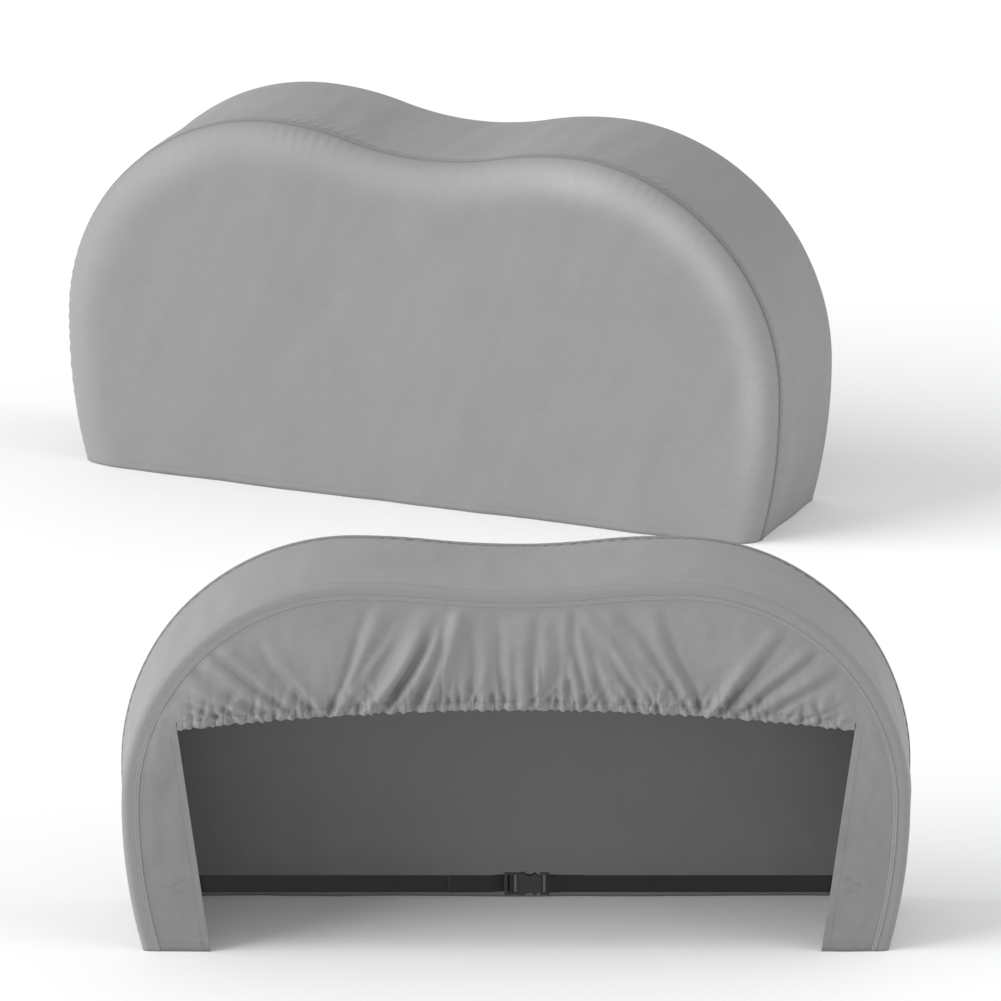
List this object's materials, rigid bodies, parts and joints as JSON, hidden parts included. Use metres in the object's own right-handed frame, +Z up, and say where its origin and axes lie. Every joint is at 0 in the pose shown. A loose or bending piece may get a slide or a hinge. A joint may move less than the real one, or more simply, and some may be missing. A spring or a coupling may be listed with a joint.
{
  "type": "wheel cover set",
  "caption": "Fabric covers for the wheels of a tandem-axle trailer: domed front panel, band over the tyres, gathered rear hood and a strap with a side-release buckle.",
  "frame": {"origin": "on the floor, in the middle of the footprint of the two standing covers", "axes": "+Z up; -Y is the way cover 1's open rear faces, with cover 2 standing behind it towards +Y and turned 22 degrees; +X is right, seen from behind cover 1"},
  "size_m": [1.826, 3.733, 0.8262],
  "materials": {
    "cover_cloth": "woven",
    "elastic": "matte",
    "webbing": "ribbed",
    "buckle_plastic": "satin"
  },
  "bodies": {
    "cover_1": {"cover_1_front_panel": "cover_cloth", "cover_1_band": "cover_cloth", "cover_1_rear_panel": "cover_cloth", "cover_1_front_seam": "cover_cloth", "cover_1_rear_seam": "cover_cloth", "cover_1_hood_casing": "cover_cloth", "cover_1_hood_elastic": "elastic", "cover_1_front_hem": "cover_cloth", "cover_1_left_hem": "cover_cloth", "cover_1_right_hem": "cover_cloth", "cover_1_left_flap_facing": "cover_cloth", "cover_1_right_flap_facing": "cover_cloth", "cover_1_left_strap_patch": "cover_cloth", "cover_1_right_strap_patch": "cover_cloth", "cover_1_adjusting_strap": "webbing", "cover_1_fixed_strap": "webbing", "cover_1_buckle_socket": "buckle_plastic"},
    "cover_1_plug": {"cover_1_buckle_plug": "buckle_plastic"},
    "cover_1_upper_arm": {"cover_1_upper_latch_arm": "buckle_plastic"},
    "cover_1_lower_arm": {"cover_1_lower_latch_arm": "buckle_plastic"},
    "cover_2": {"cover_2_front_panel": "cover_cloth", "cover_2_band": "cover_cloth", "cover_2_rear_panel": "cover_cloth", "cover_2_front_seam": "cover_cloth", "cover_2_rear_seam": "cover_cloth", "cover_2_hood_casing": "cover_cloth", "cover_2_hood_elastic": "elastic", "cover_2_front_hem": "cover_cloth", "cover_2_left_hem": "cover_cloth", "cover_2_right_hem": "cover_cloth", "cover_2_left_flap_facing": "cover_cloth", "cover_2_right_flap_facing": "cover_cloth", "cover_2_left_strap_patch": "cover_cloth", "cover_2_right_strap_patch": "cover_cloth", "cover_2_adjusting_strap": "webbing", "cover_2_fixed_strap": "webbing", "cover_2_buckle_socket": "buckle_plastic"},
    "cover_2_plug": {"cover_2_buckle_plug": "buckle_plastic"},
    "cover_2_upper_arm": {"cover_2_upper_latch_arm": "buckle_plastic"},
    "cover_2_lower_arm": {"cover_2_lower_latch_arm": "buckle_plastic"}
  },
  "joints": [
    {"name": "cover_1_plug_release", "type": "slide", "parent": "cover_1", "child": "cover_1_plug", "axis": [-1, 0, 0], "range_m": [0, 0.045], "deforming": ["cover_1_adjusting_strap", "cover_1_upper_latch_arm", "cover_1_lower_latch_arm"]},
    {"name": "cover_1_upper_latch", "type": "hinge", "parent": "cover_1_plug", "child": "cover_1_upper_arm", "pos_m": [0.08182, -1.85907, 0.163], "axis": [0, 1, 0], "range_deg": [0, 12], "stiffness_Nm_per_rad": 0.2},
    {"name": "cover_1_lower_latch", "type": "hinge", "parent": "cover_1_plug", "child": "cover_1_lower_arm", "pos_m": [0.08182, -1.85907, 0.137], "axis": [0, 1, 0], "range_deg": [-12, 0]},
    {"name": "cover_2_plug_release", "type": "slide", "parent": "cover_2", "child": "cover_2_plug", "axis": [0.9272, -0.3746, 0], "range_m": [0, 0.045], "deforming": ["cover_2_adjusting_strap", "cover_2_upper_latch_arm", "cover_2_lower_latch_arm"]},
    {"name": "cover_2_upper_latch", "type": "hinge", "parent": "cover_2_plug", "child": "cover_2_upper_arm", "pos_m": [-0.02028, 1.55523, 0.163], "axis": [-0.3746, -0.9272, 0], "range_deg": [0, 12], "stiffness_Nm_per_rad": 0.2},
    {"name": "cover_2_lower_latch", "type": "hinge", "parent": "cover_2_plug", "child": "cover_2_lower_arm", "pos_m": [-0.02028, 1.55523, 0.137], "axis": [-0.3746, -0.9272, 0], "range_deg": [-12, 0]},
    {"name": "cover_2_pull_off", "type": "slide", "parent": "cover_1", "child": "cover_2", "axis": [-0.3746, -0.9272, 0], "range_m": [0, 0.45]}
  ],
  "couplings": [
    {"joint": "cover_1_lower_latch", "follows": "cover_1_upper_latch", "ratio": -1},
    {"joint": "cover_2_lower_latch", "follows": "cover_2_upper_latch", "ratio": -1}
  ]
}
